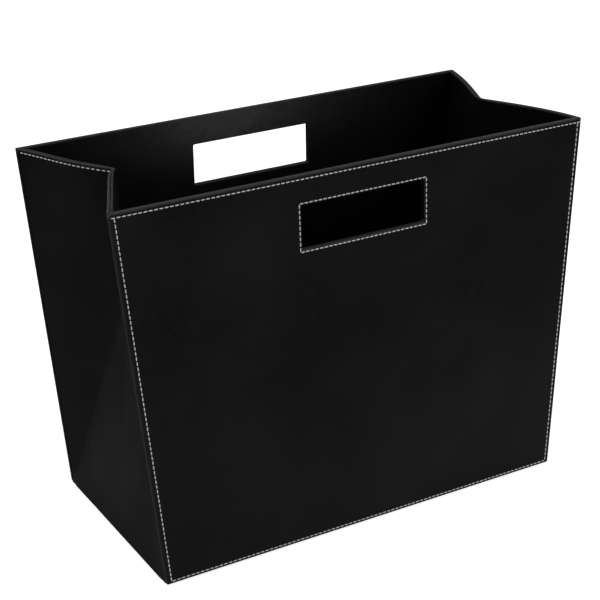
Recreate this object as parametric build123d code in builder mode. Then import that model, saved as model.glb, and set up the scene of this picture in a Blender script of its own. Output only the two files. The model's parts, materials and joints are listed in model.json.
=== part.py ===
from build123d import *
from math import cos, radians, sin, tan
import os

# Magazine box in stitched leatherette. X runs along its length, the front faces -Y,
# and the origin is the middle of the underside. All sizes are in millimetres and degrees.

# Overall size, measured over the front and back panels
top_length = 406
bottom_length = 359
height = 300
bottom_depth = 190
top_depth = 179

# Layers of a wall
skin = 0.9            # one layer of leatherette, used for covers and linings
panel_core = 2.6      # grey board inside the front and back panels
gusset_core = 2.2     # thinner board inside the folding ends

# Front and back panels
panel_lift = 0.4          # the panels' lower edges stand this far off the table
top_corner_radius = 1
bottom_corner_radius = 4
side_flange = 7.5         # turned edge of the gusset, stitched in behind each side
bottom_flange = 7.5       # turned edge of the base cover, stitched in along the bottom
rim_turn = 3              # cover leather turned over the top of the board
flange_gap = 0.3          # between a board and the turned edges round it
cover_reveal = 0.6        # the turned edges lie this far inside the panel's outline

# Hand slot, in both panels
slot_length = 107
slot_width = 34
slot_to_rim = 23.3
slot_corner_radius = 1
slot_turn = 2.2           # cover leather turned through the slot

# Stitching
thread_width = 0.8
thread_proud = 0.35
rim_stitch_margin = 3
side_stitch_margin = 3.6
bottom_stitch_margin = 3.5
slot_stitch_margin = 1.3
gusset_stitch_margin = 2.4

# Folding ends: how deep the middle of each rim is tucked in, and where the fold's legs meet
rim_tuck = {"left": 42, "right": 32}
apex_height = 207
fold_height = 1.4         # the ends fold over the base along this line
panel_overhang = 1        # the panels stand this far past the ends
hinge_gap = 0.5           # between a panel's inner face and the end's outer edge
crease_gap_top = 1.5      # half of the gap at the middle crease, at the rim
crease_gap_apex = 0.5     # the same where the fold's legs meet
leg_gap = 0.5             # half of the gap along each leg of the fold
board_inset = 6.5         # a gusset board stops this far short of the creases, which stay soft
board_rim_inset = 1.2
deepest_fold = 46         # the ends' edges are bevelled to clear the panels at this fold
deepest_tilt = 16         # the same for the lower triangle over the base

# Base
base_cover = 1
base_board = 3
base_pad = 2
base_gap = 0.9            # between the base and the panels' inner faces
base_end_gap = 1.9        # between the base board and the folding ends
end_flange = 12           # leather of each end, turned in under the base board
pad_corner_radius = 3
pad_inset = 0.4

# Everything below follows from these sizes
panel_thickness = skin + panel_core + skin
gusset_thickness = skin + gusset_core + skin
side_slope = (top_length - bottom_length) / 2 / height
depth_slope = (bottom_depth - top_depth) / 2 / height
lean = Vector(0, depth_slope, 1).get_angle(Vector(0, 0, 1))
panel_height = (height - panel_lift) / cos(radians(lean))
slot_middle = panel_height - slot_to_rim - slot_width / 2
end_x = bottom_length / 2 - panel_overhang
hinge_y = bottom_depth / 2 - panel_thickness - hinge_gap
base_top = base_cover + base_board + base_pad
base_half_depth = bottom_depth / 2 - panel_thickness - base_gap
end_lean_at_pad = (base_top - fold_height) * tan(radians(deepest_tilt))
base_half_length = end_x - gusset_thickness - base_end_gap - end_lean_at_pad / 2

os.makedirs("parts", exist_ok=True)


def keep(piece, name):
    """Names a finished piece and writes its file."""
    piece.part.label = name
    export_step(piece.part, f"parts/{name}.step")


# Front and back panels


def panel_plane(toward_back):
    """The outer face of a panel, with Y up the panel and Z outwards."""
    outwards = Vector(0, toward_back, depth_slope).normalized()
    return Plane(
        origin=(0, toward_back * bottom_depth / 2, panel_lift),
        x_dir=(-toward_back, 0, 0),
        z_dir=outwards,
    )


def half_width(up, inset=0):
    """Half the panel's width at a height up its face, less an inset."""
    return bottom_length / 2 + side_slope * (up + panel_lift) - inset


def trapezium(low, high, side):
    """The four corners of a stretch of the panel between two heights, drawn in at its sides."""
    return [
        (-half_width(low, side), low),
        (half_width(low, side), low),
        (half_width(high, side), high),
        (-half_width(high, side), high),
    ]


def panel_skin(plane, depth):
    """A cover or a lining: one layer over the whole panel, with the slot cut in it."""
    with BuildPart() as piece:
        with BuildSketch(plane.offset(-depth)) as outline:
            with BuildLine():
                Polyline(*trapezium(0, panel_height, 0), close=True)
            make_face()
            fillet(outline.vertices().group_by(Axis.Y)[0], bottom_corner_radius)
            fillet(outline.vertices().group_by(Axis.Y)[-1], top_corner_radius)
            with Locations((0, slot_middle)):
                RectangleRounded(slot_length, slot_width, slot_corner_radius, mode=Mode.SUBTRACT)
        extrude(amount=-skin)
    return piece


def panel_board(plane):
    """The stiff board, short of every stitched edge."""
    low = cover_reveal + bottom_flange + flange_gap
    high = panel_height - cover_reveal - rim_turn - flange_gap
    with BuildPart() as piece:
        with BuildSketch(plane.offset(-skin)):
            with BuildLine():
                Polyline(*trapezium(low, high, cover_reveal + side_flange + flange_gap), close=True)
            make_face()
            grow = slot_turn + flange_gap
            with Locations((0, slot_middle)):
                RectangleRounded(
                    slot_length + 2 * grow,
                    slot_width + 2 * grow,
                    slot_corner_radius + grow,
                    mode=Mode.SUBTRACT,
                )
        extrude(amount=-panel_core)
    return piece


def margin_strip(plane, corners):
    """A strip of turned leather in the panel's margin, as thick as the board beside it."""
    with BuildPart() as piece:
        with BuildSketch(plane.offset(-skin)):
            with BuildLine():
                Polyline(*corners, close=True)
            make_face()
        extrude(amount=-panel_core)
    return piece


def slot_turned_edge(plane):
    """The turned leather that closes the edge of the hand slot between cover and lining."""
    with BuildPart() as piece:
        with BuildSketch(plane.offset(-skin)):
            with Locations((0, slot_middle)):
                RectangleRounded(
                    slot_length + 2 * slot_turn,
                    slot_width + 2 * slot_turn,
                    slot_corner_radius + slot_turn,
                )
                RectangleRounded(slot_length, slot_width, slot_corner_radius, mode=Mode.SUBTRACT)
        extrude(amount=-panel_core)
    return piece


def panel_stitching(plane):
    """The thread round the whole panel, standing a little proud of the cover."""
    with BuildPart() as piece:
        with BuildSketch(plane):
            for inset, mode in ((0, Mode.ADD), (thread_width, Mode.SUBTRACT)):
                low = bottom_stitch_margin + inset
                high = panel_height - rim_stitch_margin - inset
                with BuildLine():
                    Polyline(*trapezium(low, high, side_stitch_margin + inset), close=True)
                make_face(mode=mode)
        extrude(amount=thread_proud)
    return piece


def slot_stitching(plane):
    """The thread round the hand slot."""
    with BuildPart() as piece:
        with BuildSketch(plane):
            with Locations((0, slot_middle)):
                for grow, mode in (
                    (slot_stitch_margin + thread_width, Mode.ADD),
                    (slot_stitch_margin, Mode.SUBTRACT),
                ):
                    RectangleRounded(
                        slot_length + 2 * grow,
                        slot_width + 2 * grow,
                        slot_corner_radius + grow,
                        mode=mode,
                    )
        extrude(amount=thread_proud)
    return piece


def side_corners(mirrored):
    """The seam flange down one side of a panel: mirrored is -1 or 1."""
    low = cover_reveal + bottom_flange + flange_gap
    high = panel_height - cover_reveal - rim_turn - flange_gap
    inner = cover_reveal + side_flange
    return [
        (mirrored * half_width(low, cover_reveal), low),
        (mirrored * half_width(high, cover_reveal), high),
        (mirrored * half_width(high, inner), high),
        (mirrored * half_width(low, inner), low),
    ]


for panel, toward_back in (("front", -1), ("back", 1)):
    face = panel_plane(toward_back)
    keep(panel_skin(face, 0), f"{panel}_panel_cover")
    keep(panel_skin(face, skin + panel_core), f"{panel}_panel_lining")
    keep(panel_board(face), f"{panel}_panel_board")
    keep(slot_turned_edge(face), f"{panel}_slot_turned_edge")
    keep(panel_stitching(face), f"{panel}_panel_stitching")
    keep(slot_stitching(face), f"{panel}_slot_stitching")
    for side, toward_right in (("left", -1), ("right", 1)):
        strip = margin_strip(face, side_corners(-toward_back * toward_right))
        keep(strip, f"{panel}_{side}_seam_flange")
    low_corners = trapezium(cover_reveal, cover_reveal + bottom_flange, bottom_corner_radius)
    keep(margin_strip(face, low_corners), f"{panel}_base_seam_flange")
    rim_low = panel_height - cover_reveal - rim_turn
    high_corners = trapezium(rim_low, rim_low + rim_turn, top_corner_radius)
    keep(margin_strip(face, high_corners), f"{panel}_rim_turned_edge")


# Folding ends: a lower triangle and two upper facets, each lying in its own plane


def meeting_point(a, b, c):
    """The point where three planes meet."""
    na, nb, nc = a.z_dir, b.z_dir, c.z_dir
    da, db, dc = [p.origin.dot(p.z_dir) for p in (a, b, c)]
    across = nb.cross(nc) * da + nc.cross(na) * db + na.cross(nb) * dc
    return across / na.dot(nb.cross(nc))


def layer(face, start, end, edges):
    """A closed layer between two depths behind a face, with its edges on the given planes."""
    with BuildPart() as piece:
        for depth in (start, end):
            level = face.offset(depth)
            corners = [
                level.to_local_coords(meeting_point(level, edge, following))
                for edge, following in zip(edges, edges[1:] + edges[:1])
            ]
            with BuildSketch(level):
                with BuildLine():
                    Polyline(*[(c.X, c.Y) for c in corners], close=True)
                make_face()
        loft(ruled=True)
    return piece


def facing(direction, toward):
    """The direction, or its opposite if that points more the way of toward."""
    return direction if direction.dot(toward) > 0 else -direction


class End:
    """The planes of one folding end. Every plane's Z points into the piece that it bounds."""

    def __init__(self, side, toward_right):
        self.inwards = Vector(-toward_right, 0, 0)
        self.middle = Vector(toward_right * end_x, 0, fold_height)
        rim_x = toward_right * (top_length / 2 - panel_overhang - rim_tuck[side])
        self.rim_middle = Vector(rim_x, 0, height)
        self.corner = {}
        self.edge_run = {}
        self.facet = {}
        for toward_back in (-1, 1):
            corner = Vector(self.middle.X, toward_back * hinge_y, fold_height)
            run = Vector(toward_right * side_slope, -toward_back * depth_slope, 1).normalized()
            normal = facing(run.cross(self.rim_middle - corner), self.inwards)
            self.corner[toward_back] = corner
            self.edge_run[toward_back] = run
            self.facet[toward_back] = Plane(origin=corner, x_dir=run, z_dir=normal)
        apex_level = Plane(origin=(0, 0, apex_height), z_dir=(0, 0, 1))
        mirror_plane = Plane(origin=(0, 0, 0), z_dir=(0, 1, 0))
        self.apex = meeting_point(self.facet[1], mirror_plane, apex_level)
        rise = self.apex - self.middle
        tilt = facing(rise.cross(Vector(0, 1, 0)), self.inwards)
        self.triangle = Plane(origin=self.middle, x_dir=(0, 1, 0), z_dir=tilt)

    def leg(self, toward_back, into, inset):
        """The mitre between a facet and the triangle, moved into one of them."""
        run = self.apex - self.corner[toward_back]
        bisector = self.facet[toward_back].z_dir + self.triangle.z_dir
        normal = facing(run.cross(bisector).normalized(), into)
        return Plane(origin=self.apex + normal * (leg_gap + inset), z_dir=normal)

    def facet_edges(self, toward_back, inset=0, rim_inset=0):
        """Outer edge, leg, middle crease and rim of an upper facet."""
        face = self.facet[toward_back]
        run = self.edge_run[toward_back]
        across = facing(face.z_dir.cross(run), Vector(0, -toward_back, 0))
        bevel = face.z_dir * cos(radians(deepest_fold)) + across * sin(radians(deepest_fold))
        outer_normal = facing(run.cross(bevel).normalized(), across)
        outer = Plane(origin=face.origin + outer_normal * inset, z_dir=outer_normal)
        leg = self.leg(toward_back, Vector(0, 0, 1), inset)
        low = Vector(0, toward_back * crease_gap_apex, apex_height)
        high = Vector(0, toward_back * crease_gap_top, height)
        crease_normal = facing((high - low).cross(Vector(1, 0, 0)).normalized(), Vector(0, toward_back, 0))
        crease = Plane(origin=low + crease_normal * inset, z_dir=crease_normal)
        rim = Plane(origin=(0, 0, height - rim_inset), z_dir=(0, 0, -1))
        return [outer, leg, crease, rim]

    def triangle_edges(self, inset=0):
        """Base fold and both legs of the lower triangle."""
        up = Vector(0, 0, 1)
        bevel = self.triangle.z_dir * cos(radians(deepest_tilt)) + up * sin(radians(deepest_tilt))
        fold_normal = facing(Vector(0, 1, 0).cross(bevel).normalized(), up)
        fold = Plane(origin=self.middle + fold_normal * inset, z_dir=fold_normal)
        down = Vector(0, 0, -1)
        return [fold, self.leg(1, down, inset), self.leg(-1, down, inset)]

    def rim_band(self, toward_back):
        """The narrow band of an upper facet that the rim's thread covers."""
        outer, leg, crease, rim = self.facet_edges(toward_back, thread_width, gusset_stitch_margin)
        under = Plane(origin=rim.origin - Vector(0, 0, thread_width), z_dir=(0, 0, 1))
        return [outer, under, crease, rim]


gusset_layers = {
    "cover": (0, skin, 0, 0),
    "board": (skin, skin + gusset_core, board_inset, board_rim_inset),
    "lining": (skin + gusset_core, gusset_thickness, 0, 0),
}

for side, toward_right in (("left", -1), ("right", 1)):
    end = End(side, toward_right)
    for what, (start, stop, inset, rim_inset) in gusset_layers.items():
        piece = layer(end.triangle, start, stop, end.triangle_edges(inset))
        keep(piece, f"{side}_gusset_triangle_{what}")
        for half, toward_back in (("front", -1), ("back", 1)):
            edges = end.facet_edges(toward_back, inset, rim_inset)
            piece = layer(end.facet[toward_back], start, stop, edges)
            keep(piece, f"{side}_gusset_{half}_{what}")
    for half, toward_back in (("front", -1), ("back", 1)):
        thread = layer(end.facet[toward_back], -thread_proud, 0, end.rim_band(toward_back))
        keep(thread, f"{side}_gusset_{half}_stitching")
        print(side, half, "edge", end.corner[toward_back], end.edge_run[toward_back])
    print(side, "fold", end.middle, "apex", end.apex)


# Base


def plate(low, thickness, half_length, half_depth, radius):
    """A flat plate with rounded corners, centred on the origin."""
    with BuildPart() as piece:
        with BuildSketch(Plane.XY.offset(low)):
            RectangleRounded(2 * half_length, 2 * half_depth, radius)
        extrude(amount=thickness)
    return piece


def turned_under(toward_right):
    """The foot of an end's leather, turned in between the base cover and its board."""
    outer = base_half_length - flange_gap
    with BuildPart() as piece:
        with BuildSketch(Plane.XY.offset(base_cover)):
            with Locations((toward_right * (outer - end_flange / 2), 0)):
                Rectangle(end_flange, 2 * (base_half_depth - pad_corner_radius))
        extrude(amount=skin)
    return piece


def base_board_plate():
    """The stiff board, stepped over the turned-in feet of the ends."""
    with BuildPart() as piece:
        with BuildSketch(Plane.XY.offset(base_cover)):
            Rectangle(
                2 * (base_half_length - flange_gap - end_flange - flange_gap),
                2 * (base_half_depth - flange_gap),
            )
        extrude(amount=skin)
        with BuildSketch(Plane.XY.offset(base_cover + skin)):
            RectangleRounded(
                2 * (base_half_length - flange_gap),
                2 * (base_half_depth - flange_gap),
                pad_corner_radius,
            )
        extrude(amount=base_board - skin)
    return piece


keep(plate(0, base_cover, end_x, base_half_depth, pad_corner_radius), "base_cover")
keep(base_board_plate(), "base_board")
pad_low = base_cover + base_board
keep(
    plate(
        pad_low,
        base_pad,
        base_half_length - pad_inset,
        base_half_depth - pad_inset,
        pad_corner_radius,
    ),
    "base_pad",
)
for side, toward_right in (("left", -1), ("right", 1)):
    keep(turned_under(toward_right), f"{side}_end_flange")
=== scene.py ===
import json
import math

import bmesh
import bpy
import numpy as np
from bpy.props import FloatProperty, FloatVectorProperty, PointerProperty
from bpy.types import Operator, Panel, PropertyGroup
from mathutils import Matrix, Vector


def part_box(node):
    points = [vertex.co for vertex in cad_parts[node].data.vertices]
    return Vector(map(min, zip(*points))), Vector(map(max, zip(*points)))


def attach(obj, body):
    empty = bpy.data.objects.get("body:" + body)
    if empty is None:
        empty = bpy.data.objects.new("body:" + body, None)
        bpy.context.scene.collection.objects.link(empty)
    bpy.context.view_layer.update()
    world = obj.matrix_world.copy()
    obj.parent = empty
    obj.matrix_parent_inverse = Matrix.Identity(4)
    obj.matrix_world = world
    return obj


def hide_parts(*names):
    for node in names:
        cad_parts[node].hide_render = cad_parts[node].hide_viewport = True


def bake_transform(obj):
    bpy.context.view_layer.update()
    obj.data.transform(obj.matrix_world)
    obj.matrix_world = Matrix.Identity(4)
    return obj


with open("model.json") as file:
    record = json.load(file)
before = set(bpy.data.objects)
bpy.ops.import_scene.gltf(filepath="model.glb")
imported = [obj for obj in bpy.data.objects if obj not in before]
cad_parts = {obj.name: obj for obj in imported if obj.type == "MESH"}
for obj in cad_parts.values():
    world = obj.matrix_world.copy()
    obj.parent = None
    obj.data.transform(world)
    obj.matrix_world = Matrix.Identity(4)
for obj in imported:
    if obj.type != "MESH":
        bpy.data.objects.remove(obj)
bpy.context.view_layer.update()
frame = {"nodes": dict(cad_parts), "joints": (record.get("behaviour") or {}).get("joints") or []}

bl_info = {
    "name": "Magazine Box",
    "version": (1, 0, 0),
    "blender": (4, 5, 0),
    "location": "View3D > Sidebar > Magazine Box",
    "description": "Leather, lining and stitching of a folding-ended magazine box",
    "category": "Object",
}

MM = 0.001
PANELS = {"front": -1, "back": 1}    # which way each panel faces along Y
ENDS = {"left": -1, "right": 1}      # which way each end faces along X

# How each half of a rim bows out: by how many millimetres, how far in from the panel it bows most,
# and by how many millimetres it stands out straight before it turns in at the crease
RIM_BOW = {
    ("left", "front"): (0.0, 0.5, 4.6),
    ("left", "back"): (3.9, 0.64, 0.0),
    ("right", "front"): (4.2, 0.45, 0.0),
    ("right", "back"): (2.2, 0.42, 0.0),
}

# Distances from an edge, in millimetres, at which the leather's mesh has a line
EDGE_STEPS = (0, 0.12, 0.3, 0.55, 0.9, 1.3, 1.8, 2.4, 2.9, 3.4, 3.9, 4.4, 4.9, 5.4, 5.9, 6.6, 8, 10.5)
SLOT_STEPS = (0, 0.12, 0.3, 0.55, 0.9, 1.3, 1.7, 2.1, 2.7, 4, 6, 9)
SLOT_INNER_STEPS = (0.6, 1.6, 3, 5)
FOLD_STEPS = (0, 0.3, 0.8, 1.6, 2.8, 4.5, 7, 10.5)
RIM_STEPS = (0, 0.08, 0.2, 0.4, 0.7, 1.0, 1.02, 1.6, 2.4, 3.4, 4.8, 7, 10.5)
COARSE = 4.0    # about how wide the mesh's squares are between those lines, in millimetres

# Lighter patches of a lining near its rim: how strong, and where along it and how wide, in millimetres
RIM_PATCHES = ((1.0, -25, 55), (0.6, -10, 120))
RIM_PATCH_DEPTH = 34 * MM    # how far down from the rim the patches reach

HOLLOW_SEEDS = {"front": 11, "back": 23}    # each cover has hollows of its own
BROAD_HOLLOW = 0.055       # width of a cover's broad hollows
SMALL_HOLLOW = 0.021       # width of its small ones
GROOVE_WIDTH = 0.75 * MM   # how far a seam's groove reaches beside it
HIGHLIGHT_WIDTH = 1.1 * MM    # how far from a panel's edge the painted highlight reaches
STITCH_LIFT = 0.12 * MM    # how far a stitch stands on the leather
STITCH_SLANT = 0.07        # how unevenly the stitches lie
TURNED_EDGE = 1.01 * MM    # how far down from an end's rim its turned edges show
TURNED_GAP = 0.3 * MM      # from the middle of the rim to each turned edge
BACKING = 0.3 * MM         # thickness of the leather that carries on behind a fold


def length_of(name, description, value):
    """A length that a user can change."""
    return FloatProperty(name=name, description=description, default=value, unit="LENGTH")


def colour_of(name, description, value):
    """A colour that a user can change."""
    return FloatVectorProperty(
        name=name, description=description, default=value, subtype="COLOR", size=3, min=0, max=1
    )


class MAGBOX_PG_sizes(PropertyGroup):
    """Sizes of the leather work that the CAD solids leave plain."""

    skin: length_of("Leather", "Thickness of one layer of leather", 0.0009)
    panel_depth: length_of("Panel", "Thickness of a front or back panel", 0.0044)
    gusset_depth: length_of("Gusset", "Thickness of a folding end", 0.004)
    cover_edge: length_of("Cover edge", "Radius of a panel's outer edge", 0.0015)
    lining_edge: length_of("Lining edge", "Radius of a lining's edge", 0.0005)
    rim_edge: length_of("Gusset rim", "Radius of the gusset leather's edge", 0.0004)
    top_corner: length_of("Top corner", "Radius of a panel's top corners", 0.001)
    bottom_corner: length_of("Bottom corner", "Radius of a panel's bottom corners", 0.0008)
    slot_corner: length_of("Slot corner", "Radius of the hand slot's corners", 0.001)
    side_seam: length_of("Side seam", "From a panel's side edge to its stitches", 0.0037)
    rim_seam: length_of("Rim seam", "From a panel's top edge to its stitches", 0.0034)
    base_seam: length_of("Base seam", "From a panel's lower edge to its stitches", 0.0025)
    slot_seam: length_of("Slot seam", "From the hand slot's edge to its stitches", 0.0017)
    gusset_seam: length_of("Gusset seam", "From a gusset's rim to its stitches", 0.0028)
    groove: length_of("Seam groove", "How far stitches pull the leather in", 0.00022)
    ripple: length_of("Ripple", "Unevenness of the leather on a panel", 0.00022)
    crease: length_of("Crease", "Softness of the middle crease", 0.0018)
    pinch: length_of("Pinch", "How much thinner a gusset is at its middle crease", 0.0018)
    foot: length_of("Foot", "How far an end stands out over the base", 0.0011)
    stitch_pitch: length_of("Stitch pitch", "From one stitch to the next", 0.004)
    stitch_length: length_of("Stitch length", "Length of thread that shows", 0.003)
    thread: length_of("Thread", "Thickness of the thread", 0.0008)


class MAGBOX_PG_colours(PropertyGroup):
    """Colours of the box and of the stage it stands on."""

    leather: colour_of("Leather", "Outer leather", (0.0046, 0.0046, 0.0048))
    # Painted highlight: leather along the edges is painted towards this lighter colour; a lining's
    # lighter patches near its rim take it too
    lightened: colour_of("Lightened edge", "Leather where its edges are rubbed", (0.033, 0.033, 0.034))
    lining: colour_of("Lining", "Inner leather", (0.002, 0.002, 0.0021))
    thread: colour_of("Thread", "Stitching thread", (0.5, 0.495, 0.48))
    board: colour_of("Board", "Grey board inside the walls", (0.17, 0.16, 0.145))
    floor: colour_of("Floor", "Floor of the stage", (0.92, 0.92, 0.92))


# Lines of the box, read from the CAD's joints and nodes, in metres


def joint(name):
    """The joint of that name."""
    return next(j for j in frame["joints"] if j["name"] == name)


def vertices_of(node):
    """The vertices of a CAD node, one row each."""
    return np.array([v.co for v in frame["nodes"][node].data.vertices])


class Layout:
    """The main lines that the leather follows."""

    def __init__(self):
        hinge = joint("right_back_fold")
        run = np.array(hinge["axis"]) / hinge["axis"][2]
        self.side_slope = abs(run[0])
        self.depth_slope = abs(run[1])
        self.end_x, self.end_y, self.fold_z = (abs(v) for v in hinge["pos_m"])
        low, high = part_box("front_panel_cover")
        self.height = high.z
        self.panel_z = low.z
        self.panel_y = abs(joint("front_panel_squeeze")["pos_m"][1])
        self.upright = math.hypot(1, self.depth_slope)
        self.rise = (self.height - self.panel_z) * self.upright
        self.bottom_half = high.x - self.side_slope * self.height
        self.slot_half, self.slot_low, self.slot_high = self.slot_lines()
        self.slot_middle = (self.slot_low + self.slot_high) / 2
        self.slot_reach = (self.slot_high - self.slot_low) / 2
        self.base_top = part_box("base_pad")[1].z

    def slot_lines(self):
        """Half the hand slot's length, and its lower and upper edge up the panel's face."""
        below_rim, outer_layer = 5 * MM, 2 * MM
        cover = vertices_of("front_panel_cover")
        inside = cover[np.abs(cover[:, 0]) < self.end_x / 2]
        inside = inside[(inside[:, 2] > self.height / 2) & (inside[:, 2] < self.height - below_rim)]
        half = np.abs(inside[:, 0]).max()
        face = inside[inside[:, 1] < inside[:, 1].min() + outer_layer]
        up = (face[:, 2] - self.panel_z) * self.upright
        return half, up.min(), up.max()

    def half_width(self, up):
        """Half a panel's width at a height up its face."""
        return self.bottom_half + self.side_slope * (up + self.panel_z)

    def past_slot(self, p, q):
        """Distances outside the hand slot along a panel and up it, negative inside the slot."""
        return np.abs(p) - self.slot_half, np.abs(q - self.slot_middle) - self.slot_reach


BOX = Layout()


def soft_noise(x, y, seed, size):
    """A smooth uneven value of about -1 to 1 that each seed repeats; size is the width of its hollows."""
    draw = np.random.default_rng(seed)
    total = np.zeros(np.broadcast(x, y).shape)
    waves, spread = 14, 1.5
    for _ in range(waves):
        angle = draw.uniform(0, math.pi)
        length = size * draw.uniform(0.7, 1.9)
        phase = draw.uniform(0, 2 * math.pi)
        total = total + np.sin(
            2 * math.pi * (x * math.cos(angle) + y * math.sin(angle)) / length + phase
        )
    return total / math.sqrt(waves) / spread


def graded(first, last, first_steps, last_steps, coarse=COARSE * MM):
    """Positions from first to last, close together near both ends and even between."""
    low = [first + s * MM for s in first_steps]
    high = [last - s * MM for s in reversed(last_steps)]
    count = max(1, round((high[0] - low[-1]) / coarse))
    middle = np.linspace(low[-1], high[0], count + 1)[1:-1]
    return np.array([*low, *middle, *high])


def edge_drop(distance, radius):
    """How far a rounded edge has dropped at a distance from the edge."""
    left = np.clip(1 - distance / radius, 0, 1)
    return radius * (1 - np.sqrt(1 - left**2))


class Mesh:
    """Collects vertices and faces for one piece."""

    def __init__(self):
        self.points = []
        self.lightening = []
        self.faces = []
        self.count = 0

    def add(self, points, lightening=0.0):
        """Adds points, and returns their numbers."""
        points = np.asarray(points, float).reshape(-1, 3)
        first = self.count
        self.points.append(points)
        self.lightening.append(np.broadcast_to(np.asarray(lightening, float).ravel(), (len(points),)))
        self.count += len(points)
        return np.arange(first, self.count)

    def sheet(self, points, lightening=0.0):
        """Adds a grid of points and the squares between them, and returns the loop round them."""
        numbers = self.add(points, lightening).reshape(points.shape[:2])
        self.grid(numbers)
        return border(numbers)

    def grid(self, numbers, skip=None):
        """Adds the squares between rows of points, except those marked in skip."""
        corners = (numbers[:-1, :-1], numbers[1:, :-1], numbers[1:, 1:], numbers[:-1, 1:])
        squares = np.stack(corners, axis=-1)
        kept = squares.reshape(-1, 4) if skip is None else squares[~skip]
        self.faces += kept.tolist()

    def band(self, first, second):
        """Adds the squares between two closed loops of the same length."""
        squares = np.stack((first, np.roll(first, -1), np.roll(second, -1), second), axis=-1)
        self.faces += squares.tolist()

    def finish(self, name, material, slot):
        """Makes the object, with its faces turned outwards."""
        data = bpy.data.meshes.new(name)
        data.from_pydata(np.concatenate(self.points).tolist(), [], self.faces)
        # How much lighter each point is painted: a painted highlight along edges, and lighter patches on
        # a lining
        lightening = data.attributes.new("lightening", "FLOAT", "POINT")
        lightening.data.foreach_set("value", np.concatenate(self.lightening).astype(np.float32))
        tidy = bmesh.new()
        tidy.from_mesh(data)
        bmesh.ops.recalc_face_normals(tidy, faces=tidy.faces)
        tidy.to_mesh(data)
        tidy.free()
        data.shade_smooth()
        data.set_sharp_from_angle(angle=math.radians(50))
        data.materials.append(material)
        piece = bpy.data.objects.new(name, data)
        bpy.context.scene.collection.objects.link(piece)
        return piece


def border(numbers):
    """The numbers round the outside of a grid, as one loop."""
    return np.concatenate(
        [numbers[:-1, 0], numbers[-1, :-1], numbers[:0:-1, -1], numbers[0, :0:-1]]
    )


# Front and back panels


class Face:
    """One panel's face: P runs along it, Q up it, and depth into the box."""

    def __init__(self, panel, sizes):
        self.panel = panel
        self.out = PANELS[panel]
        self.sizes = sizes
        slope = BOX.depth_slope / BOX.upright
        self.up = np.array([0, -self.out * slope, 1 / BOX.upright])
        self.outwards = np.array([0, self.out / BOX.upright, slope])
        self.origin = np.array([0, self.out * BOX.panel_y, BOX.panel_z])

    def place(self, p, q, depth):
        """Points in the box's frame for places on the face."""
        p, q, depth = np.broadcast_arrays(p, q, depth)
        side = np.array([1.0, 0, 0])
        return (
            self.origin
            + p[..., None] * side
            + q[..., None] * self.up
            - depth[..., None] * self.outwards
        )

    def relief(self, p, q):
        """How far the cover lies below a flat face: soft hollows, and a groove along the seams."""
        sizes = self.sizes
        seed = HOLLOW_SEEDS[self.panel]
        broad = soft_noise(p, q, seed, BROAD_HOLLOW)
        small = soft_noise(p, q, seed + 1, SMALL_HOLLOW)
        hollows = sizes.ripple * (0.75 * broad + 0.3 * small)
        side = BOX.half_width(q) - np.abs(p)
        slot_p, slot_q = BOX.past_slot(p, q)
        beyond_corner = (slot_p > 0) & (slot_q > 0)
        slot = np.where(beyond_corner, np.hypot(slot_p, slot_q), np.maximum(slot_p, slot_q))
        edge = np.minimum.reduce([side, q, BOX.rise - q, np.abs(slot)])
        flat, fade = 2 * MM, 16 * MM
        hollowed = np.clip((edge - flat) / fade, 0, 1)
        to_seams = (
            np.abs(side - sizes.side_seam),
            np.abs(q - sizes.base_seam),
            np.abs(BOX.rise - q - sizes.rim_seam),
            np.abs(slot - sizes.slot_seam),
        )
        groove = sizes.groove * np.exp(-((np.minimum.reduce(to_seams) / GROOVE_WIDTH) ** 2))
        return hollows * hollowed + groove


def panel_columns():
    """The panel mesh's upright lines: each is a share of the half width, plus a distance."""
    edge = [(-1.0, s * MM) for s in EDGE_STEPS]
    slot = [(0.0, -BOX.slot_half - s * MM) for s in reversed(SLOT_STEPS)]
    gap = BOX.half_width(BOX.rise / 2) - EDGE_STEPS[-1] * MM - BOX.slot_half - SLOT_STEPS[-1] * MM
    count = round(gap / (COARSE * MM))
    between = []
    for k in range(1, count):
        t = k / count
        share, distance = edge[-1]
        between.append((share * (1 - t), distance * (1 - t) + slot[0][1] * t))
    inside = graded(-BOX.slot_half, 0, SLOT_INNER_STEPS, (0,))
    left = edge + between + slot + [(0.0, p) for p in inside]
    right = [(-share, -distance) for share, distance in reversed(left[:-1])]
    return np.array(left + right)


def panel_rows():
    """The heights of the panel mesh's level lines, up its face."""
    below = graded(0, BOX.slot_low, EDGE_STEPS, SLOT_STEPS)
    beside = graded(BOX.slot_low, BOX.slot_high, SLOT_INNER_STEPS, SLOT_INNER_STEPS)
    above = graded(BOX.slot_high, BOX.rise, SLOT_STEPS, EDGE_STEPS)
    return np.concatenate([below, beside, above])


def round_corner(near_p, near_q, radius):
    """Rounds a square corner: new distances from both edges, and the distance from the rounded one."""
    a = np.clip((radius - near_p) / radius, 0, None)
    b = np.clip((radius - near_q) / radius, 0, None)
    corner = (a > 0) & (b > 0)
    larger = np.maximum(a, b)
    share = np.where(corner, larger / np.maximum(np.hypot(a, b), 1e-9), 1)
    edge = np.where(corner, radius * (1 - larger), np.minimum(near_p, near_q))
    new_p = np.where(corner, radius * (1 - a * share), near_p)
    new_q = np.where(corner, radius * (1 - b * share), near_q)
    return new_p, new_q, edge


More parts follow.
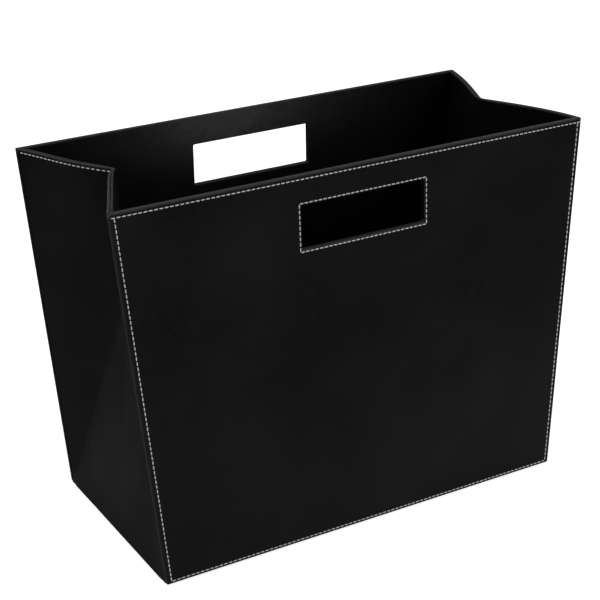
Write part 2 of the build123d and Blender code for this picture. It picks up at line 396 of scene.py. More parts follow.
def panel_outline(sizes, inset=0.0):
    """Places of the panel mesh's points, with every edge moved in, and their distances from the edge."""
    columns = panel_columns()
    q = panel_rows()[None, :]
    p = columns[:, :1] * BOX.half_width(q) + columns[:, 1:]
    q = np.broadcast_to(q, p.shape).copy()
    fade, nothing = 12 * MM, 1e-7

    def move(distance):
        return inset * np.clip(1 - distance / fade, 0, 1)

    off_p, off_q = BOX.past_slot(p, q)
    beside = np.clip(1 - np.maximum(off_q, 0) / fade, 0, 1) * (off_p > -nothing)
    over = np.clip(1 - np.maximum(off_p, 0) / fade, 0, 1) * (off_q > -nothing)
    push_p = np.sign(p) * move(np.abs(off_p)) * beside
    push_q = np.sign(q - BOX.slot_middle) * move(np.abs(off_q)) * over
    side, low, high = BOX.half_width(q) - np.abs(p), q.copy(), BOX.rise - q
    p = p - np.sign(p) * move(side) + push_p
    q = q + move(low) - move(high) + push_q
    side = BOX.half_width(q) - np.abs(p)
    corner = np.where(q < BOX.rise / 2, sizes.bottom_corner, sizes.top_corner)
    near_q = np.where(q < BOX.rise / 2, q, BOX.rise - q)
    new_side, new_q, edge = round_corner(side - inset, near_q - inset, corner)
    p = np.sign(p) * (BOX.half_width(q) - inset - new_side)
    q = np.where(q < BOX.rise / 2, new_q + inset, BOX.rise - inset - new_q)
    return round_slot(p, q, edge, sizes.slot_corner + inset, inset)


def round_slot(p, q, edge, radius, inset):
    """Rounds the hand slot's corners in the panel's mesh, less and less up to a few radii away."""
    middle = BOX.slot_middle
    centre_p = BOX.slot_half + inset - radius
    centre_q = BOX.slot_reach + inset - radius
    a = (np.abs(p) - centre_p) / radius
    b = (np.abs(q - middle) - centre_q) / radius
    corner = (a > 0) & (b > 0)
    reach = 3
    larger = np.maximum(a, b)
    length = np.maximum(np.hypot(a, b), 1e-9)
    pull = np.clip((reach - larger) / (reach - 1), 0, 1)
    share = np.where(corner, 1 + (larger / length - 1) * pull, 1)
    a, b = a * share, b * share
    p = np.where(corner, np.sign(p) * (centre_p + a * radius), p)
    q = np.where(corner, middle + np.sign(q - middle) * (centre_q + b * radius), q)
    from_slot = np.where(corner, np.hypot(a, b) - 1, larger - 1) * radius
    return p, q, np.minimum(edge, np.maximum(from_slot, 0))


def edge_highlight(p, q):
    """How strong an edge's painted highlight is: wholly where the edge faces up, at the rim and at the
    slot's lower edge.
    """
    rim, sill = 3 * MM, 1.5 * MM
    at_sill = (np.abs(q - BOX.slot_low) < sill) & (np.abs(p) < BOX.slot_half)
    return np.where((q > BOX.rise - rim) | at_sill, 1.0, 0.3)


def rim_patches(p, q):
    """How much lighter a lining is in patches near its rim, by its hand slot."""
    along = sum(
        share * np.exp(-(((p - middle * MM) / (width * MM)) ** 2)) for share, middle, width in RIM_PATCHES
    )
    return along * np.exp(-(((BOX.rise - q) / RIM_PATCH_DEPTH) ** 2))


def panel_leather(face, name, material, slot, front, back, radius, walls):
    """A cover or lining: a face with rounded edges, walls down its edges, and a hidden back.

    Each wall is given by its share of the way in to the back's edge, and by its depth.
    """
    sizes = face.sizes
    inset = 0.55 * MM
    p, q, edge = panel_outline(sizes)
    into = 1 if back > front else -1
    depth = front + into * edge_drop(edge, radius)
    if into > 0:
        depth = depth + face.relief(p, q) * np.clip(edge / radius, 0, 1)
    back_p, back_q, _ = panel_outline(sizes, inset)
    # Painted highlight along the panel's edges, strongest where they face up
    lightened = edge_highlight(p, q)
    lightening = lightened * np.exp(-((edge / HIGHLIGHT_WIDTH) ** 2))
    # A lining is also lighter in patches near its rim, fading downwards
    if into < 0:
        lightening = np.maximum(lightening, 0.8 * rim_patches(p, q))
    mesh = Mesh()
    outer = mesh.add(face.place(p, q, depth), lightening).reshape(p.shape)
    inner = mesh.add(face.place(back_p, back_q, back)).reshape(p.shape)
    gap = slot_cells(p.shape)
    mesh.grid(outer, gap)
    mesh.grid(inner, gap)
    for loop in (border(np.arange(p.size).reshape(p.shape)), slot_loop(p.shape)):
        last = outer.ravel()[loop]
        for share, wall_depth in walls:
            points = face.place(
                p.ravel()[loop] * (1 - share) + back_p.ravel()[loop] * share,
                q.ravel()[loop] * (1 - share) + back_q.ravel()[loop] * share,
                wall_depth,
            )
            # The walls down the edges take the painted highlight too, less of it towards the back
            following = mesh.add(points, 0.8 * (1 - share) * lightened.ravel()[loop])
            mesh.band(last, following)
            last = following
        mesh.band(last, inner.ravel()[loop])
    return mesh.finish(name, material, slot)


def slot_edges(shape):
    """The first and last mesh column and row at the hand slot's edge."""
    columns, rows = panel_columns(), panel_rows()
    flat = np.abs(columns[:, 0]) < 1e-9
    first = int(np.argmin(np.abs(columns[:, 1] + BOX.slot_half) + ~flat))
    low = int(np.argmin(np.abs(rows - BOX.slot_low)))
    high = int(np.argmin(np.abs(rows - BOX.slot_high)))
    return first, shape[0] - 1 - first, low, high


def slot_cells(shape):
    """Marks the squares of the panel's mesh that the hand slot leaves open."""
    first, last, low, high = slot_edges(shape)
    gap = np.zeros((shape[0] - 1, shape[1] - 1), bool)
    gap[first:last, low:high] = True
    return gap


def slot_loop(shape):
    """The points round the hand slot, as one loop."""
    first, last, low, high = slot_edges(shape)
    numbers = np.arange(shape[0] * shape[1]).reshape(shape)
    return border(numbers[first : last + 1, low : high + 1])


# Folding ends. Each end's leather is one surface, X outwards for each place along Y and Z


class End:
    """One folding end: where its leather lies."""

    def __init__(self, side, sizes):
        self.side = side
        self.out = ENDS[side]
        self.sizes = sizes
        self.core = sizes.gusset_depth - 2 * sizes.skin
        rim_band, tip_band = 0.05 * MM, 1.5 * MM
        # The outer corner where the rim meets the middle crease, then the triangle's tip and foot
        cover = vertices_of(f"{side}_gusset_back_cover")
        rim = cover[cover[:, 2] > BOX.height - rim_band]
        crease = rim[np.argmin(np.abs(rim[:, 1]) - 0.5 * np.abs(rim[:, 0]))]
        reach = self.root_y(BOX.height) - abs(crease[1])
        self.fold_slope = (self.root_x(BOX.height) - abs(crease[0])) / reach
        triangle = vertices_of(f"{side}_gusset_triangle_cover")
        tops = triangle[triangle[:, 2] > triangle[:, 2].max() - tip_band]
        top = tops[np.argmax(np.abs(tops[:, 0]))]
        foot = triangle[np.argmax(np.abs(triangle[:, 0]))]
        self.tilt_slope = (abs(foot[0]) - abs(top[0])) / (top[2] - foot[2])
        closing = BOX.side_slope + self.tilt_slope + self.fold_slope * BOX.depth_slope
        self.apex_z = BOX.fold_z + self.fold_slope * BOX.end_y / closing

    def root_x(self, z):
        """X of the end's outer edge at a height."""
        return BOX.end_x + BOX.side_slope * (z - BOX.fold_z)

    def root_y(self, z):
        """Y of the end's outer edge at a height."""
        return BOX.end_y - BOX.depth_slope * (z - BOX.fold_z)

    def leg_y(self, z):
        """Y of the fold's legs at a height."""
        return BOX.end_y * np.clip((self.apex_z - z) / (self.apex_z - BOX.fold_z), 0, None)

    def surface(self, y, z):
        """How far out the end's outer face lies at a place."""
        sizes = self.sizes
        across = np.sqrt(y**2 + sizes.crease**2)
        upper = self.root_x(z) - self.fold_slope * (self.root_y(z) - across)
        lower = BOX.end_x - self.tilt_slope * (z - BOX.fold_z)
        softness, foot_height = 1.6 * MM, 12 * MM
        x = (upper + lower + np.sqrt((upper - lower) ** 2 + softness**2)) / 2
        share = np.clip((self.root_y(z) - np.abs(y)) / self.root_y(z), 0, 1)
        height = np.clip((z - BOX.fold_z) / BOX.height, 0, 1)
        bow = np.where(y < 0, self.bow("front", share), self.bow("back", share)) * height**2
        swell = 0.4 * sizes.ripple * soft_noise(y, z, 31 + 7 * self.out, 0.05) * np.clip(share * 8, 0, 1)
        foot = sizes.foot * np.exp(-(((z - BOX.fold_z) / foot_height) ** 2)) * np.clip(share * 12, 0, 1)
        return x + bow + swell + foot

    def bow(self, half, share):
        """How far a rim bows out at a share of the way from its panel to the middle."""
        most, peak, straight = RIM_BOW[self.side, half]
        turn = 0.06
        curved = most * np.sin(math.pi * share ** (math.log(0.5) / math.log(peak)))
        return MM * (curved + straight * share * (1 - np.exp(-(1 - share) / turn)))

    def place(self, y, z, depth):
        """Points in the box's frame at a depth behind the end's outer face."""
        step, pinched_width = 0.05 * MM, 7 * MM
        under_cover = np.clip((depth - self.sizes.skin) / self.core, 0, 1)
        pressed = under_cover * np.exp(-((y / pinched_width) ** 2))
        depth = depth - self.sizes.pinch * pressed
        slope = (self.surface(y + step, z) - self.surface(y - step, z)) / (2 * step)
        length = np.sqrt(1 + slope**2)
        x = self.surface(y, z) - depth / length
        return np.stack(np.broadcast_arrays(self.out * x, y + depth * slope / length, z), axis=-1)

    def hinge(self, half):
        """A point on the line where this end meets a panel, and the way across the field from it."""
        found = joint(f"{self.side}_{half}_fold")
        axis = np.array(found["axis"])
        start = np.array(found["pos_m"]) + axis * (BOX.height / 2 / axis[2])
        slope = self.fold_slope
        across = np.array([-self.out * slope, -PANELS[half], 0]) / math.hypot(1, slope)
        return start, across


class Layer:
    """One layer of an end, between two depths.

    It reaches past the panel's line by root, stays inside the fold lines by inset and starts below the
    rim by rim_drop.
    """

    def __init__(self, what, start, stop, slot, root=0.0, inset=0.0, rim_drop=0.0):
        self.what = what
        self.depths = (start, stop)
        self.slot = slot
        self.root = root
        self.inset = inset
        self.rim_drop = rim_drop

    def rim_depths(self, sizes):
        """Its depths at the rim, where the cover and the lining turn in and nearly meet."""
        start, stop = self.depths
        middle = sizes.gusset_depth / 2
        turned = {"cover": (start, middle - TURNED_GAP), "lining": (middle + TURNED_GAP, stop)}
        return turned.get(self.what, self.depths)


def end_layers(sizes):
    """The layers of an end, from outside to inside."""
    inner = sizes.gusset_depth - sizes.skin
    return (
        Layer("cover", 0.0, sizes.skin, "black_leatherette", root=0.45 * MM),
        Layer("board", sizes.skin, inner, "grey_board", inset=6.5 * MM, rim_drop=3.2 * MM),
        Layer("lining", inner, sizes.gusset_depth, "lining_leatherette", root=0.25 * MM),
    )


def gusset_field(end, half, layer):
    """Places of an upper field's mesh: along Y and Z, for the two depths of a layer."""
    toward, inset = PANELS[half], layer.inset
    crease_gap = 0.01 * MM
    top = BOX.height - layer.rim_drop
    u = graded(0, BOX.end_y, FOLD_STEPS, FOLD_STEPS) / BOX.end_y
    v = graded(0, BOX.height, FOLD_STEPS, RIM_STEPS) / BOX.height
    u, v = u[:, None], v[None, :]
    sine = end.fold_slope / math.hypot(1, end.fold_slope)
    leg_rise = (end.apex_z - BOX.fold_z) / BOX.end_y
    rise, step = inset * math.hypot(1, leg_rise), inset * leg_rise
    low_root, low_crease = BOX.fold_z + rise + step, end.apex_z + rise - step
    root_z = low_root + v * (top - low_root)
    crease_z = low_crease + v * (top - low_crease)
    places = []
    for depth in layer.depths:
        root_y = end.root_y(root_z) + layer.root - depth * sine - inset
        y = root_y * (1 - u) + (crease_gap + inset) * u
        z = root_z * (1 - u) + crease_z * u
        places.append((toward * y, z))
    return places


def layer_mesh(end, places, layer):
    """A closed layer of an end between its two depths, with a rounded rim and a painted highlight along
    it.
    """
    mesh = Mesh()
    highlight_width = 0.9 * MM
    loops = []
    for (y, z), depth, rim_depth, into in zip(places, layer.depths, layer.rim_depths(end.sizes), (1, -1)):
        from_rim = BOX.height - z
        drop = into * edge_drop(from_rim, end.sizes.rim_edge)
        # Painted highlight along the rim
        lightening = np.exp(-((from_rim / highlight_width) ** 2))
        points = end.place(y, z, np.where(from_rim < TURNED_EDGE, rim_depth, depth) + drop)
        loops.append(mesh.sheet(points, lightening))
    mesh.band(*loops)
    return mesh


def triangle_field(end, bottom, inset):
    """Places of the lower triangle's mesh, along Y and Z."""
    tip_gap, tip_half = 1.2 * MM, 0.4 * MM
    overlap, overlap_height = 0.9 * MM, 4 * MM
    tip = end.apex_z - tip_gap - inset * end.apex_z / BOX.end_y
    u = graded(-1, 1, (0,), (0,), coarse=0.05)
    z = graded(bottom, tip, FOLD_STEPS, FOLD_STEPS, coarse=5 * MM)
    y = np.maximum(end.leg_y(z) - inset, tip_half)
    touching = overlap * np.clip(1 - (z - BOX.fold_z) / overlap_height, 0, 1) * (inset == 0)
    below = np.minimum(y, end.leg_y(BOX.fold_z) - inset) + touching
    return u[:, None] * below[None, :], np.broadcast_to(z, (len(u), len(z)))


def fold_backing(end, mesh):
    """Adds the triangle's leather that carries on behind the upper fields, so the folds stay closed."""
    raised, beyond, from_panel = 1.5 * MM, 6 * MM, 0.1 * MM
    z = np.linspace(BOX.fold_z + raised, end.apex_z + raised, 60)
    width = np.minimum(end.leg_y(z) + beyond, end.root_y(z) - from_panel)
    u = np.linspace(-1, 1, 25)[:, None]
    add_backing(end, mesh, u * width, z, 0.05 * MM)


def crease_backing(end, half, mesh):
    """Adds the leather of one upper field that reaches past the middle crease, behind the other field."""
    below_apex, below_rim = 4 * MM, 14 * MM
    before_crease, past_crease, taper = 2.5 * MM, 4.8 * MM, 84 * MM
    z = np.linspace(end.apex_z - below_apex, BOX.height - below_rim, 30)
    reach = past_crease * np.clip(1 - (z - end.apex_z) / taper, 0.05, 1)
    u = np.linspace(0, 1, 11)[:, None]
    y = PANELS[half] * (before_crease * (1 - u) - reach * u)
    add_backing(end, mesh, y, z, 0.05 * MM if half == "front" else 0.4 * MM)


def add_backing(end, mesh, y, z, behind):
    """Adds a thin closed strip of leather at a distance behind an end's cover."""
    depth = end.sizes.skin + behind
    mesh.band(*[mesh.sheet(end.place(y, z, depth + extra)) for extra in (0, BACKING)])


def bend_at_panel(piece, end, half):
    """Bakes the leather of an upper field into place; the line where it leaves its panel is found, but
    nothing bends there.
    """
    start, across = end.hinge(half)
    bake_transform(piece)


# Stitches


def stitch_run(start, stop, pitch):
    """Middles of evenly spaced stitches along a seam."""
    count = max(1, round((stop - start) / pitch))
    return start + (np.arange(count) + 0.5) * (stop - start) / count


def add_stitch(mesh, middle, along, out, sizes):
    """One stitch: a short arched run of thread whose ends dip into the leather."""
    along = along / np.linalg.norm(along)
    out = out - along * out.dot(along)
    out = out / np.linalg.norm(out)
    across = np.cross(along, out)
    rings, sides = 8, 8
    wide, flat, narrowest = 1.08, 0.85, 0.72
    angles = np.arange(sides) * 2 * math.pi / sides
    radius = sizes.thread / 2
    loops = []
    for k in range(rings):
        t = -1 + 2 * k / (rings - 1)
        arch = STITCH_LIFT * (1 - abs(t) ** 3) - 0.4 * radius * abs(t) ** 6
        thick = radius * (narrowest + (1 - narrowest) * math.sqrt(max(0, 1 - t**4)))
        centre = middle + along * (t * sizes.stitch_length / 2) + out * arch
        ring = (
            centre
            + np.outer(np.cos(angles), across) * thick * wide
            + np.outer(np.sin(angles), out) * thick * flat
        )
        loops.append(mesh.add(ring))
    for first, second in zip(loops, loops[1:]):
        mesh.band(first, second)
    mesh.faces.append(loops[0].tolist())
    mesh.faces.append(loops[-1][::-1].tolist())


def panel_seams(face):
    """Every stitch of a panel's own seams, as its middle and its direction on the face."""
    sizes = face.sizes
    low, high = sizes.base_seam, BOX.rise - sizes.rim_seam
    rim_margin = 1.0 * MM
    seams = []
    for q in (low, high):
        half = BOX.half_width(q) - (sizes.side_seam if q == low else rim_margin)
        seams += [((p, q), (1, 0)) for p in stitch_run(-half, half, sizes.stitch_pitch)]
    for way in (-1, 1):
        for q in stitch_run(low, high, sizes.stitch_pitch):
            seams.append(((way * (BOX.half_width(q) - sizes.side_seam), q), (way * BOX.side_slope, 1)))
    return seams


def slot_seams(face):
    """Every stitch round the hand slot."""
    sizes = face.sizes
    half = BOX.slot_half + sizes.slot_seam
    low, high = BOX.slot_low - sizes.slot_seam, BOX.slot_high + sizes.slot_seam
    seams = []
    for q in (low, high):
        seams += [((p, q), (1, 0)) for p in stitch_run(-half, half, sizes.stitch_pitch)]
    for way in (-1, 1):
        seams += [((way * half, q), (0, 1)) for q in stitch_run(low, high, sizes.stitch_pitch)]
    return seams


def sew(face, seams, name, material):
    """Makes the stitches of some seams on a panel."""
    draw = np.random.default_rng(5)
    mesh = Mesh()
    for (p, q), (along_p, along_q) in seams:
        turn = draw.uniform(-STITCH_SLANT, STITCH_SLANT)
        along_p, along_q = along_p - turn * along_q, along_q + turn * along_p
        middle = face.place(np.array(p), np.array(q), face.relief(np.array(p), np.array(q)))
        along = np.array([along_p, 0, 0]) + along_q * face.up
        add_stitch(mesh, middle, along, face.outwards, face.sizes)
    return mesh.finish(name, material, "white_thread")


# Materials


class Nodes:
    """Builds a material's nodes, with its main shader ready."""

    def __init__(self, name):
        self.material = bpy.data.materials.new(name)
        self.material.use_nodes = True
        self.tree = self.material.node_tree
        self.shader = self.tree.nodes["Principled BSDF"]
        self.place = self.add("ShaderNodeTexCoord").outputs["Object"]

    def add(self, kind, inputs=None, **settings):
        """Adds a node, sets it up and links its inputs."""
        node = self.tree.nodes.new(kind)
        for key, value in settings.items():
            setattr(node, key, value)
        for key, value in (inputs or {}).items():
            self.put(node, key, value)
        return node

    def put(self, node, key, value):
        """Sets or links one input of a node."""
        if isinstance(value, bpy.types.NodeSocket):
            self.tree.links.new(value, node.inputs[key])
        else:
            node.inputs[key].default_value = value

    def noise(self, scale, detail=2.0, roughness=0.5):
        """A noise texture in the box's own frame."""
        return self.add(
            "ShaderNodeTexNoise",
            {"Vector": self.place, "Scale": scale, "Detail": detail, "Roughness": roughness},
        ).outputs["Fac"]

    def ramp(self, value, low, high, to_low, to_high):
        """Maps a value from one range to another."""
        return self.add(
            "ShaderNodeMapRange",
            {"Value": value, "From Min": low, "From Max": high, "To Min": to_low, "To Max": to_high},
        ).outputs["Result"]

    def maths(self, operation, a, b):
        """A sum, product or other of two values."""
        return self.add("ShaderNodeMath", {0: a, 1: b}, operation=operation).outputs["Value"]

    def mix(self, share, a, b):
        """A colour between two colours."""
        node = self.add("ShaderNodeMix", data_type="RGBA")
        self.put(node, 0, share)
        self.put(node, 6, a)
        self.put(node, 7, b)
        return node.outputs[2]

    def bump(self, height, strength, distance, normal=None):
        """Raises the surface by a value."""
        inputs = {"Height": height, "Strength": strength, "Distance": distance}
        if normal is not None:
            inputs["Normal"] = normal
        return self.add("ShaderNodeBump", inputs).outputs["Normal"]


def opaque(colour):
    """A colour with full alpha."""
    return (*colour, 1.0)


def lighter(colour, factor):
    """A colour made brighter by a factor."""
    return opaque([min(1.0, c * factor) for c in colour])


def leather(name, colour, lightened, roughness, gloss, grain):
    """Coated leather: fine pebble grain, broad patches of tone that are partly a painted sheen, painted
    light that darkens it towards the rim, and a painted highlight along its edges.
    """
    nodes = Nodes(name)
    # Broad patches of tone, partly a painted sheen standing in for uneven gloss
    patches = nodes.ramp(nodes.noise(7.5, 3.0, 0.5), 0.36, 0.66, 0.0, 0.5)
    # Painted light: the leather is painted lighter towards the bottom and darker towards the rim
    height = nodes.add("ShaderNodeSeparateXYZ", {"Vector": nodes.place}).outputs["Z"]
    patches = nodes.maths("ADD", patches, nodes.ramp(height, 0.02, 0.29, 0.5, 0.0))
    flecks = nodes.ramp(nodes.noise(420, 2.0), 0.4, 0.75, 0.0, 0.35)
    base = nodes.mix(patches, lighter(colour, 0.55), lighter(colour, 2.1))
    base = nodes.mix(flecks, base, lighter(colour, 1.9))
    # Painted highlight: edges, and a lining's lighter patches near its rim, are mixed towards the lighter
    # colour, unevenly by noise
    lightening_share = nodes.add("ShaderNodeAttribute", attribute_name="lightening").outputs["Fac"]
    unevenness = nodes.ramp(nodes.noise(160, 3.0), 0.35, 0.65, 0.75, 1.0)
    base = nodes.mix(nodes.maths("MULTIPLY", lightening_share, unevenness), base, opaque(lightened))
    nodes.put(nodes.shader, "Base Color", base)
    dull = nodes.ramp(nodes.noise(19, 4.0, 0.6), 0.3, 0.7, roughness - 0.06, roughness + 0.09)
    nodes.put(nodes.shader, "Roughness", dull)
    nodes.put(nodes.shader, "Specular IOR Level", gloss)
    pebbles = nodes.add(
        "ShaderNodeTexVoronoi",
        {"Vector": nodes.place, "Scale": 1150.0, "Randomness": 0.9},
        feature="SMOOTH_F1",
    ).outputs["Distance"]
    normal = nodes.bump(pebbles, grain, 0.00012)
    normal = nodes.bump(nodes.noise(330, 4.0, 0.6), grain * 0.8, 0.00015, normal)
    normal = nodes.bump(nodes.noise(34, 3.0, 0.5), 0.35, 0.0006, normal)
    nodes.put(nodes.shader, "Normal", normal)
    return nodes.material


def thread_material(colour):
    """Twisted sewing thread: slanted strands with painted shade in the grooves between them, slightly
    soiled, with a soft sheen.
    """
    nodes = Nodes("white thread")
    strands = nodes.add(
        "ShaderNodeTexWave",
        {"Vector": nodes.place, "Scale": 900.0, "Distortion": 1.2, "Detail": 1.0},
        bands_direction="DIAGONAL",
    ).outputs["Fac"]
    soil = nodes.ramp(nodes.noise(260, 3.0), 0.35, 0.75, 0.0, 0.6)
    base = nodes.mix(soil, opaque(colour), lighter(colour, 0.55))
    # Painted shade: the grooves between the strands are painted darker
    base = nodes.mix(nodes.ramp(strands, 0.0, 0.5, 0.45, 0.0), base, lighter(colour, 0.4))
    nodes.put(nodes.shader, "Base Color", base)
    nodes.put(nodes.shader, "Roughness", 0.7)
    nodes.put(nodes.shader, "Sheen Weight", 0.25)
    nodes.put(nodes.shader, "Normal", nodes.bump(strands, 0.6, 0.0002))
    return nodes.material


def board_material(colour):
    """Grey board: short fibres and specks."""
    nodes = Nodes("grey board")
    stretched = nodes.add("ShaderNodeMapping", {"Vector": nodes.place, "Scale": (1.0, 1.0, 0.25)})
    fibres = nodes.add(
        "ShaderNodeTexNoise", {"Vector": stretched.outputs["Vector"], "Scale": 900.0, "Detail": 5.0}
    ).outputs["Fac"]
    specks = nodes.ramp(nodes.noise(1500, 1.0), 0.62, 0.7, 0.0, 0.6)
    base = nodes.mix(fibres, lighter(colour, 0.75), lighter(colour, 1.25))
    nodes.put(nodes.shader, "Base Color", nodes.mix(specks, base, lighter(colour, 0.45)))
    nodes.put(nodes.shader, "Roughness", 0.9)
    nodes.put(nodes.shader, "Normal", nodes.bump(fibres, 0.4, 0.0002))
    return nodes.material


_made = {}


def finish_of(name):
    """The material of that finish, made once."""
    if name not in _made:
        colours = bpy.context.scene.magbox_colours
        makers = {
            "cover": lambda: leather(
                "black leather", colours.leather, colours.lightened, roughness=0.52, gloss=0.016, grain=0.22
            ),
            "lining": lambda: leather(
                "lining leather", colours.lining, colours.lightened, roughness=0.7, gloss=0.01, grain=0.16
            ),
            "thread": lambda: thread_material(colours.thread),
            "board": lambda: board_material(colours.board),
        }
        _made[name] = makers[name]()
    return _made[name]


# Operators


class MAGBOX_OT_panels(Operator):
    """Makes the covers and linings of the front and back panels"""

    bl_idname = "magbox.panels"
    bl_label = "Panels"

    def execute(self, context):
        sizes = context.scene.magbox_sizes
        deep = sizes.panel_depth - sizes.skin
        turned_in = deep - 0.05 * MM
        cover_walls = ((0, 0.55 * deep), (0, deep - 0.25 * MM), (0.35, turned_in), (1, turned_in))
        lining_walls = ((0, deep + 0.15 * MM), (0.3, deep + 0.02 * MM))
        for panel in PANELS:
            face = Face(panel, sizes)
            cover = panel_leather(
                face,
                f"{panel}_cover_leather",
                finish_of("cover"),
                "black_leatherette",
                front=0.0,
                back=sizes.skin,
                radius=sizes.cover_edge,
                walls=cover_walls,
            )
            lining = panel_leather(
                face,
                f"{panel}_lining_leather",
                finish_of("lining"),
                "lining_leatherette",
                front=sizes.panel_depth,
                back=deep,
                radius=sizes.lining_edge,
                walls=lining_walls,
            )
            for piece, node in ((cover, "cover"), (lining, "lining")):
                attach(piece, f"{panel}_panel")
                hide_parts(f"{panel}_panel_{node}")
        return {"FINISHED"}


class MAGBOX_OT_panel_stitches(Operator):
    """Sews the seams round each panel and round its hand slot"""

    bl_idname = "magbox.panel_stitches"
    bl_label = "Panel stitches"

    def execute(self, context):
        sizes = context.scene.magbox_sizes
        for panel in PANELS:
            face = Face(panel, sizes)
            edge = sew(face, panel_seams(face), f"{panel}_edge_stitches", finish_of("thread"))
            slot = sew(face, slot_seams(face), f"{panel}_slot_stitches", finish_of("thread"))
            for piece, node in ((edge, "panel"), (slot, "slot")):
                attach(piece, f"{panel}_panel")
                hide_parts(f"{panel}_{node}_stitching")
        return {"FINISHED"}


class MAGBOX_OT_gussets(Operator):
    """Makes the folded leather, boards and linings of both ends"""

    bl_idname = "magbox.gussets"
    bl_label = "Folding ends"

    def execute(self, context):
        sizes = context.scene.magbox_sizes
        for side in ENDS:
            end = End(side, sizes)
            for layer in end_layers(sizes):
                for half in PANELS:
                    self.field(end, half, layer)
                self.triangle(end, layer)
        return {"FINISHED"}

    def field(self, end, half, layer):
        """Makes one layer of an upper field."""
        mesh = layer_mesh(end, gusset_field(end, half, layer), layer)
        if layer.what == "cover":
            crease_backing(end, half, mesh)
        name = f"{end.side}_{half}_gusset_{layer.what}_piece"
        piece = mesh.finish(name, finish_of(layer.what), layer.slot)
        body = f"{end.side}_gusset_{half}"
        if layer.what == "board":
            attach(piece, body)
        else:
            bend_at_panel(piece, end, half)
        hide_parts(f"{body}_{layer.what}")

    def triangle(self, end, layer):
        """Makes one layer of the lower triangle."""
        above_floor, into_pad = 0.1 * MM, 1 * MM
        bottom = above_floor if layer.what == "cover" else BOX.base_top - into_pad
        places = triangle_field(end, bottom, layer.inset)
        mesh = layer_mesh(end, (places, places), layer)
        if layer.what == "cover":
            fold_backing(end, mesh)
        name = f"{end.side}_gusset_triangle"
        piece = mesh.finish(f"{name}_{layer.what}_piece", finish_of(layer.what), layer.slot)
        if layer.what == "board":
            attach(piece, name)
        else:
            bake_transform(piece)
        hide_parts(f"{name}_{layer.what}")


class MAGBOX_OT_gusset_stitches(Operator):
    """Sews the seam along the rim of both ends"""

    bl_idname = "magbox.gusset_stitches"
    bl_label = "Rim stitches"

    def execute(self, context):
        sizes = context.scene.magbox_sizes
        for side in ENDS:
            end = End(side, sizes)
            for half in PANELS:
                mesh = self.seam(end, half)
                piece = mesh.finish(f"{side}_{half}_rim_stitches", finish_of("thread"), "white_thread")
                bend_at_panel(piece, end, half)
                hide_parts(f"{side}_gusset_{half}_stitching")
        return {"FINISHED"}

    def seam(self, end, half):
        """Every stitch along the rim of an upper field."""
        sizes = end.sizes
        margin, step = 1.2 * MM, 0.3 * MM
        z = BOX.height - sizes.gusset_seam
        mesh = Mesh()
        for across in stitch_run(margin, end.root_y(z) - margin, sizes.stitch_pitch):
            y = PANELS[half] * (across + np.array([-step, 0, step]))
            before, middle, after = end.place(y, np.full(3, z), 0.0)
            along = after - before
            out = np.cross(along, (0, 0, 1.0))
            out = out if out[0] * end.out > 0 else -out
            add_stitch(mesh, middle, along, out, sizes)
        return mesh


def base_mesh(low, high, radius, reach=0.0, crown=0.0):
    """Leather between two corners of the base: flat, or a pad that reaches further and has a crown."""
    coarse, slope_width = 8 * MM, 30 * MM
    x = graded(low.x - reach, high.x + reach, FOLD_STEPS, FOLD_STEPS, coarse)[:, None]
    y = graded(low.y, high.y, FOLD_STEPS, FOLD_STEPS, coarse)[None, :]
    edge = np.minimum(np.minimum(x - x.min(), x.max() - x), np.minimum(y - y.min(), y.max() - y))
    drop = edge_drop(edge, radius)
    swell = crown * np.clip(edge / slope_width, 0, 1) + crown * 0.5 * soft_noise(x, y, 3, 0.04)
    mesh = Mesh()
    x, y = np.broadcast_arrays(x, y)
    heights = (low.z + drop * (crown == 0), high.z - drop + swell * (edge > radius))
    mesh.band(*[mesh.sheet(np.stack((x, y, z), axis=-1)) for z in heights])
    return mesh


class MAGBOX_OT_base(Operator):
    """Makes the base cover and the padded leather on the base board"""

    bl_idname = "magbox.base"
    bl_label = "Base"

    def execute(self, context):
        cover = base_mesh(*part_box("base_cover"), radius=0.35 * MM)
        pad = base_mesh(*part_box("base_pad"), radius=0.8 * MM, reach=3.9 * MM, crown=0.25 * MM)
        pieces = (
            ("base_cover", cover, "cover", "black_leatherette"),
            ("base_pad", pad, "lining", "lining_leatherette"),
        )
        for node, mesh, finish, slot in pieces:
            piece = mesh.finish(f"{node}_leather", finish_of(finish), slot)
            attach(piece, "base")
            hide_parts(node)
        return {"FINISHED"}


class MAGBOX_OT_inner_pieces(Operator):
    """Gives the boards and turned edges inside the walls their finish"""

    bl_idname = "magbox.inner_pieces"
    bl_label = "Inner pieces"

    def execute(self, context):
        for name, node in frame["nodes"].items():
            finish = "board" if name.endswith("_board") else "cover"
            node.data.materials.clear()
            node.data.materials.append(finish_of(finish))
        return {"FINISHED"}


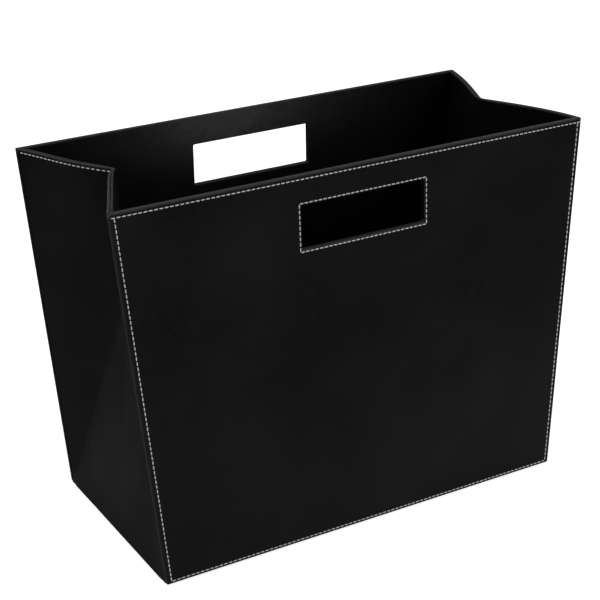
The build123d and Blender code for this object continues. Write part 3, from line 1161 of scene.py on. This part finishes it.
class MAGBOX_OT_stage(Operator):
    """Sets up the floor, the light and the camera"""

    bl_idname = "magbox.stage"
    bl_label = "Stage"

    def execute(self, context):
        self.floor()
        self.world()
        self.lamp("key", place=(0.7, -2.0, 1.5), size=1.6, power=33)
        self.lamp("side", place=(-1.1, 0.5, 2.2), size=1.4, power=22)
        self.camera()
        context.scene.view_settings.view_transform = "Standard"
        return {"FINISHED"}

    def floor(self):
        """A pale floor that is white to the camera except in the box's shadow."""
        bpy.ops.mesh.primitive_plane_add(size=14, location=(0, 0, 0))
        floor = bpy.context.object
        floor.name = "floor"
        nodes = Nodes("floor")
        nodes.put(nodes.shader, "Base Color", opaque(bpy.context.scene.magbox_colours.floor))
        nodes.put(nodes.shader, "Roughness", 0.9)
        nodes.put(nodes.shader, "Specular IOR Level", 0.1)
        glow = nodes.add("ShaderNodeEmission", {"Color": (1, 1, 1, 1), "Strength": 0.5})
        seen = nodes.add("ShaderNodeLightPath").outputs["Is Camera Ray"]
        lit = nodes.add("ShaderNodeAddShader", {0: nodes.shader.outputs[0], 1: glow.outputs[0]})
        out = nodes.tree.nodes["Material Output"]
        both = nodes.add("ShaderNodeMixShader", {0: seen, 1: nodes.shader.outputs[0], 2: lit.outputs[0]})
        nodes.tree.links.new(both.outputs[0], out.inputs["Surface"])
        floor.data.materials.append(nodes.material)

    def world(self):
        """White all round for the camera and reflections, softer as a light."""
        world = bpy.data.worlds.new("studio")
        world.use_nodes = True
        tree = world.node_tree
        background = tree.nodes["Background"]
        background.inputs["Color"].default_value = (1, 1, 1, 1)
        path = tree.nodes.new("ShaderNodeLightPath")
        total = path.outputs["Is Camera Ray"]
        for ray in ("Is Glossy Ray", "Is Transmission Ray"):
            larger = tree.nodes.new("ShaderNodeMath")
            larger.operation = "MAXIMUM"
            tree.links.new(total, larger.inputs[0])
            tree.links.new(path.outputs[ray], larger.inputs[1])
            total = larger.outputs[0]
        strength = tree.nodes.new("ShaderNodeMapRange")
        strength.inputs["To Min"].default_value = 0.48
        strength.inputs["To Max"].default_value = 1.0
        tree.links.new(total, strength.inputs["Value"])
        tree.links.new(strength.outputs["Result"], background.inputs["Strength"])
        bpy.context.scene.world = world

    def lamp(self, name, place, size, power):
        """One large soft lamp, aimed at the middle of the box."""
        data = bpy.data.lights.new(name, "AREA")
        data.size = size
        data.energy = power
        lamp = bpy.data.objects.new(name, data)
        lamp.location = place
        aim = Vector((0, 0, BOX.height / 2)) - Vector(place)
        lamp.rotation_mode = "QUATERNION"
        lamp.rotation_quaternion = aim.to_track_quat("-Z", "Y")
        bpy.context.scene.collection.objects.link(lamp)

    def camera(self):
        """The photograph's viewpoint."""
        azimuth, elevation, roll = (math.radians(a) for a in (-29.35, 23.11, -1.39))
        distance, target = 1.2861, Vector((-0.006, 0.0, 0.1596))
        photo_width, focal_pixels = 600, 1587.9
        back = Vector(
            (
                math.sin(azimuth) * math.cos(elevation),
                -math.cos(azimuth) * math.cos(elevation),
                math.sin(elevation),
            )
        )
        side = (-back).cross(Vector((0, 0, 1))).normalized()
        up = side.cross(-back)
        right = side * math.cos(roll) + up * math.sin(roll)
        above = up * math.cos(roll) - side * math.sin(roll)
        data = bpy.data.cameras.new("camera")
        data.sensor_width = 36.0
        data.lens = focal_pixels / photo_width * data.sensor_width
        camera = bpy.data.objects.new("camera", data)
        turn = Matrix((right, above, back)).transposed()
        camera.matrix_world = Matrix.Translation(target + back * distance) @ turn.to_4x4()
        bpy.context.scene.collection.objects.link(camera)
        bpy.context.scene.camera = camera


class MAGBOX_PT_panel(Panel):
    """Lists the box's pieces in the sidebar"""

    bl_idname = "MAGBOX_PT_panel"
    bl_label = "Magazine Box"
    bl_space_type = "VIEW_3D"
    bl_region_type = "UI"
    bl_category = "Magazine Box"

    def draw(self, context):
        for group in (context.scene.magbox_sizes, context.scene.magbox_colours):
            column = self.layout.column(align=True)
            for name in group.__annotations__:
                column.prop(group, name)
        for step in STEPS:
            self.layout.operator(step.bl_idname)


STEPS = (
    MAGBOX_OT_panels,
    MAGBOX_OT_panel_stitches,
    MAGBOX_OT_gussets,
    MAGBOX_OT_gusset_stitches,
    MAGBOX_OT_base,
    MAGBOX_OT_inner_pieces,
    MAGBOX_OT_stage,
)
CLASSES = (MAGBOX_PG_sizes, MAGBOX_PG_colours, *STEPS, MAGBOX_PT_panel)


def register():
    """Registers the classes and the scene's settings."""
    for item in CLASSES:
        bpy.utils.register_class(item)
    bpy.types.Scene.magbox_sizes = PointerProperty(type=MAGBOX_PG_sizes)
    bpy.types.Scene.magbox_colours = PointerProperty(type=MAGBOX_PG_colours)


def unregister():
    """Takes the settings and the classes away again."""
    del bpy.types.Scene.magbox_colours
    del bpy.types.Scene.magbox_sizes
    for item in reversed(CLASSES):
        bpy.utils.unregister_class(item)


def main():
    """Builds the box and its stage."""
    register()
    for step in STEPS:
        group, name = step.bl_idname.split(".")
        getattr(getattr(bpy.ops, group), name)()


if __name__ == "__main__":
    main()
